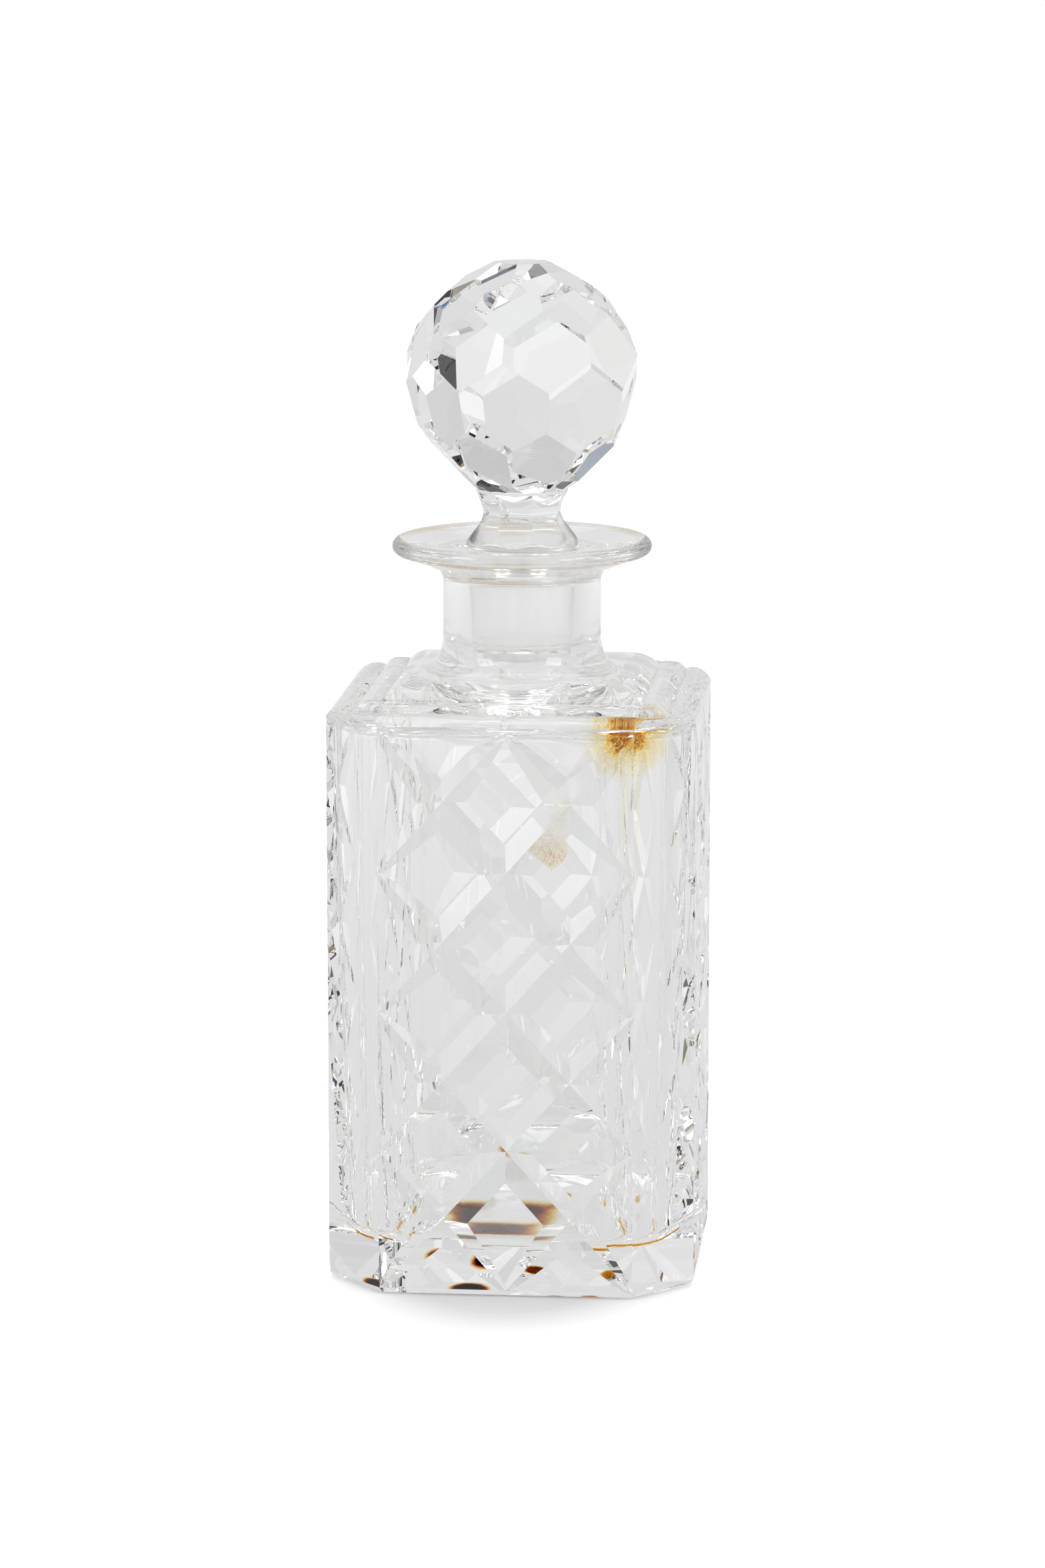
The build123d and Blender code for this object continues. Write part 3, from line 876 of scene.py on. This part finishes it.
floor_grid = [[(x, y, FLOOR - FILM_INSET) for x in range(-22, 25, 2)] for y in range(-30, 35, 2)]
film("floor_residue", floor_grid,
     stained("floor_residue", floor_thickness, BROWN, 0.98, (0.10, 0.045, 0.02)), upward=True)
for name, span in (("tide_line_right", (30, 72)), ("tide_line_left", (-62, -44))):
    film(name, grid_on_wall(span, (10.3, 12.4), across=40, up=8),
         stained(name, tide_thickness, AMBER, 0.9, (0.45, 0.24, 0.05)))


# ---- studio: pale floor, white sweep behind, soft light -------------------------------
def panel(name, centre, facing, width, height, material):
    """A flat stage panel whose front looks along facing."""
    mesh = bpy.data.meshes.new(name)
    turn = Vector(facing).to_track_quat("Z", "Y")
    corners = [Vector((across * width / 2, up * height / 2, 0))
               for across, up in ((-1, -1), (1, -1), (1, 1), (-1, 1))]
    mesh.from_pydata([Vector(centre) + turn @ corner for corner in corners], [], [(0, 1, 2, 3)])
    mesh.materials.append(material)
    placed(name, mesh)


# The lens sees plain white. Through the glass the floor and the sweep are painted glows: the floor is greyer
# close to the bottle, a painted shade, the sweep has a painted fade upward and to the right, and the room is
# dark only round the camera.
LAMP_TARGET, CAMERA_TARGET = Vector((0, 0, 0.12)), Vector((0.0001, 0, 0.1191))
SWEEP_LIT, FLOOR_NEAR, FLOOR_FAR, PLAIN_WHITE = 0.82, 0.72, 0.90, 1.1


def blended(tree, pieces):
    """Product of the brightness ramps in pieces: (value, from, to, at from, at to)."""
    ramps = []
    for value, *numbers in pieces:
        ramp = add_node(tree, "ShaderNodeMapRange")
        for label, number in zip(("From Min", "From Max", "To Min", "To Max"), numbers):
            ramp.inputs[label].default_value = number
        tree.links.new(value, ramp.inputs["Value"])
        ramps.append(ramp.outputs["Result"])
    return times(tree, *ramps)


def stage_surface(name, ramps, seen):
    """Stage material: seen(tree) is what the lens gets, the ramps give the painted glow, with its painted
    shade and fade, that the glass gets.
    """
    material, tree = new_material(name)
    _, x, y, z = where(tree)
    painted_stage_glow = add_node(tree, "ShaderNodeEmission")
    tree.links.new(blended(tree, ramps(x, y, z)), painted_stage_glow.inputs["Strength"])
    surface(tree, mixed(tree, seen_by_lens(tree), painted_stage_glow.outputs[0], seen(tree, x, y)))
    return material


def floor_seen_with_painted_shadow(tree, x, y):
    """Matt white that takes a real soft shadow near the bottle, plus a painted glow that stays low near the
    bottle and so paints more shadow there, and is plain white further off.
    """
    # oval round the foot of the bottle that sets the painted shadow: inside it the glow is dim, outside it
    # lifts the floor to plain white
    reach = oval(tree, x, y, (0.0, -20.0), (58.0, 92.0))
    coat = add_node(tree, "ShaderNodeBsdfDiffuse", Color=(0.90, 0.90, 0.90, 1))
    # painted glow: the floor shines by itself, weakly near the bottle and strongly further off
    painted_floor_glow = add_node(tree, "ShaderNodeEmission")
    tree.links.new(blended(tree, [(reach, 0.42, 1.15, 0.08, 0.75)]), painted_floor_glow.inputs["Strength"])
    both = add_node(tree, "ShaderNodeAddShader")
    tree.links.new(coat.outputs[0], both.inputs[0])
    tree.links.new(painted_floor_glow.outputs[0], both.inputs[1])
    return both.outputs[0]


def sweep_seen(tree, x, y):
    return add_node(tree, "ShaderNodeEmission", Strength=PLAIN_WHITE).outputs[0]


# floor as the glass sees it: a painted glow with painted shade near the bottle that also darkens toward +x
pale_floor = stage_surface("pale_floor", lambda x, y, z: [
    (y, -100.0, 1300.0, FLOOR_NEAR, FLOOR_FAR), (x, -900.0, 900.0, 1.07, 0.93)], floor_seen_with_painted_shadow)
# sweep as the glass sees it: a painted glow that fades upward and toward +x
white_sweep = stage_surface("white_sweep", lambda x, y, z: [
    (z, 0.0, 2600.0, SWEEP_LIT, 0.70 * SWEEP_LIT), (x, -1500.0, 1500.0, 1.08, 0.90)], sweep_seen)
panel("floor", (0, 0, -0.0002), (0, 0, 1), 12, 12, pale_floor)
panel("sweep", (0, 3.0, 1.6), (0, -1, 0), 9, 7, white_sweep)

world = bpy.data.worlds.new("studio")
scene.world = world
world.use_nodes = True
room = world.node_tree
room.nodes.clear()
toward = add_node(room, "ShaderNodeTexCoord")
DARK_FROM, DARK_TO, ROOM_LIT = 0.42, 0.78, 0.74


def room_channel(shift):
    """Brightness of the room for one colour, looked up a little to one side: cut glass splits colours."""
    moved = add_node(room, "ShaderNodeVectorMath", operation="ADD")
    moved.inputs[1].default_value = shift
    room.links.new(toward.outputs["Generated"], moved.inputs[0])
    split = add_node(room, "ShaderNodeSeparateXYZ")
    room.links.new(moved.outputs[0], split.inputs[0])
    front = fall(room, times(room, split.outputs["Y"], -1.0), DARK_TO, DARK_FROM)
    clutter = add_node(room, "ShaderNodeTexNoise", Scale=5.0, Detail=1.5)
    room.links.new(moved.outputs[0], clutter.inputs["Vector"])
    dim = times(room, front, most(room, fall(room, clutter.outputs["Fac"], 0.44, 0.60), 0.45))
    return scaled(room, dim, -ROOM_LIT, ROOM_LIT)


colours = add_node(room, "ShaderNodeCombineColor")
for channel, shift in enumerate(((0.006, 0, 0.009), (0, 0, 0), (-0.007, 0, -0.011))):
    room.links.new(room_channel(shift), colours.inputs[channel])
glow = add_node(room, "ShaderNodeBackground")
room.links.new(colours.outputs[0], glow.inputs["Color"])
plain = add_node(room, "ShaderNodeBackground", Color=(1, 1, 1, 1), Strength=PLAIN_WHITE)
surface(room, mixed(room, seen_by_lens(room), glow.outputs[0], plain.outputs[0]), "World")


def softbox(name, place, size, power):
    """Square lamp that looks at the middle of the decanter."""
    data = bpy.data.lights.new(name, "AREA")
    data.shape = "RECTANGLE"
    data.size = data.size_y = size
    data.energy = power
    lamp = placed(name, data)
    lamp.location = place
    lamp.rotation_euler = (LAMP_TARGET - Vector(place)).to_track_quat("-Z", "Y").to_euler()


softbox("softbox_left", (-1.5, -1.2, 1.3), 0.8, 6)
softbox("softbox_right", (1.5, -1.1, 1.2), 0.8, 6)
softbox("softbox_top", (0, 0.3, 2.2), 2.0, 14)

# ---- camera -----------------------------------------------------------------
lens = bpy.data.cameras.new("camera")
lens.sensor_width, lens.lens = 36.0, 129.6
camera = placed("camera", lens)
camera.location = (0.1266, -1.3720, 0.3751)
camera.rotation_euler = (CAMERA_TARGET - camera.location).to_track_quat("-Z", "Y").to_euler()
scene.camera = camera

scene.view_settings.view_transform = "Standard"
scene.view_settings.look = "None"
scene.cycles.max_bounces = 28
scene.cycles.transmission_bounces = 28
scene.cycles.glossy_bounces = 16
scene.cycles.transparent_max_bounces = 16
